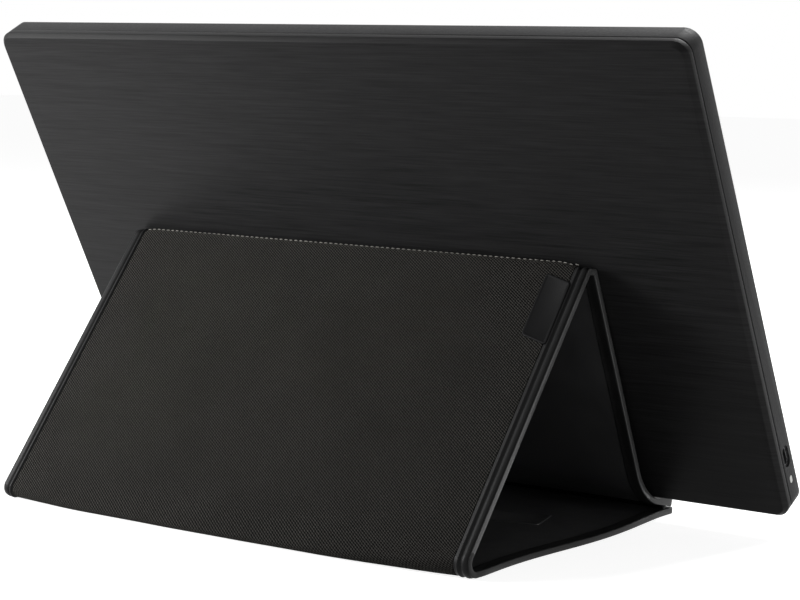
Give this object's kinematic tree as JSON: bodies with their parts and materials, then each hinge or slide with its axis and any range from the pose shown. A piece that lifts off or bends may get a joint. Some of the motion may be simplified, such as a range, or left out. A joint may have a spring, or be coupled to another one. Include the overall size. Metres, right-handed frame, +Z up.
{
  "type": "portable monitor with cover",
  "caption": "Slim portable monitor leaning back on its fold-out cover, with a brushed dark back, a side socket and stiff woven panels that fold into a triangle.",
  "frame": {"origin": "on the table, under the middle of the cover's base and of the monitor's width", "axes": "+Z up, the screen faces -Y and leans back towards +Y, +X to the right of someone who looks at the screen"},
  "size_m": [0.3822, 0.1765, 0.2241],
  "materials": {
    "bezel_plastic": "fine matte texture",
    "cover_plastic": "fine horizontal brushed lines, satin",
    "screen_glass": "dark anti-glare",
    "film": "translucent white",
    "acrylic": "clear",
    "reflector": "white",
    "led": "yellow phosphor on white flex",
    "tray_metal": "plain sheet",
    "screw_steel": "zinc plated",
    "circuit": "green solder mask",
    "shield_metal": "tinned",
    "flex": "amber film",
    "port_metal": "nickel plated",
    "port_plastic": "plain",
    "lens": "frosted white",
    "button_plastic": "satin",
    "switch_plastic": "plain",
    "woven_skin": "brown-black twill",
    "lining_leather": "smooth black",
    "binding_leather": "fine-grained black, satin",
    "tab_leather": "fine-grained black, satin",
    "board_fibre": "plain fibreboard",
    "magnet_steel": "nickel plated"
  },
  "bodies": {
    "support": {"support_skin": "woven_skin", "support_board": "board_fibre", "support_lining": "lining_leather", "support_bindings": "binding_leather"},
    "rear_panel": {"rear_skin": "woven_skin", "rear_board": "board_fibre", "rear_lining": "lining_leather", "rear_bindings": "binding_leather", "label_tab": "tab_leather"},
    "base_panel": {"base_skin": "woven_skin", "base_board": "board_fibre", "base_lining": "lining_leather", "base_bindings": "binding_leather", "base_magnets": "magnet_steel", "lining_tab": "tab_leather"},
    "ledge": {"ledge_skin": "woven_skin", "ledge_board": "board_fibre", "ledge_lining": "lining_leather", "ledge_bindings": "binding_leather", "ledge_magnets": "magnet_steel"},
    "monitor": {"front_bezel": "bezel_plastic", "back_cover": "cover_plastic", "lcd_panel": "screen_glass", "diffuser_stack": "film", "light_guide": "acrylic", "reflector_sheet": "reflector", "led_strip": "led", "backlight_tray": "tray_metal", "tray_screws": "screw_steel", "driver_board": "circuit", "board_screws": "screw_steel", "board_shield": "shield_metal", "panel_cable": "flex", "usb_port": "port_metal", "port_tongue": "port_plastic", "side_light_lens": "lens", "button_board": "circuit", "button_switch": "switch_plastic", "power_light_lens": "lens"},
    "power_button": {"power_button": "button_plastic"}
  },
  "joints": [
    {"name": "crest_fold", "type": "hinge", "parent": "support", "child": "rear_panel", "pos_m": [0.008, -0.00883, 0.12249], "axis": [1, 0, 0], "range_deg": [0, 105]},
    {"name": "front_fold", "type": "hinge", "parent": "rear_panel", "child": "base_panel", "pos_m": [0.008, 0.08822, 0.00124], "axis": [1, 0, 0], "range_deg": [0, 125]},
    {"name": "ledge_fold", "type": "hinge", "parent": "support", "child": "ledge", "pos_m": [0.008, -0.07068, 0.00703], "axis": [1, 0, 0], "range_deg": [0, 50.4]},
    {"name": "monitor_lift", "type": "slide", "parent": "support", "child": "monitor", "axis": [0, 0.4664, 0.8846], "range_m": [0, 0.26]},
    {"name": "button_press", "type": "slide", "parent": "monitor", "child": "power_button", "axis": [0, 0.8846, -0.4664], "range_m": [0, 0.0004], "stiffness_N_per_m": 2500, "springref_m": -0.0002}
  ],
  "couplings": [
    {"joint": "ledge_fold", "follows": "crest_fold", "ratio": 0.48}
  ]
}
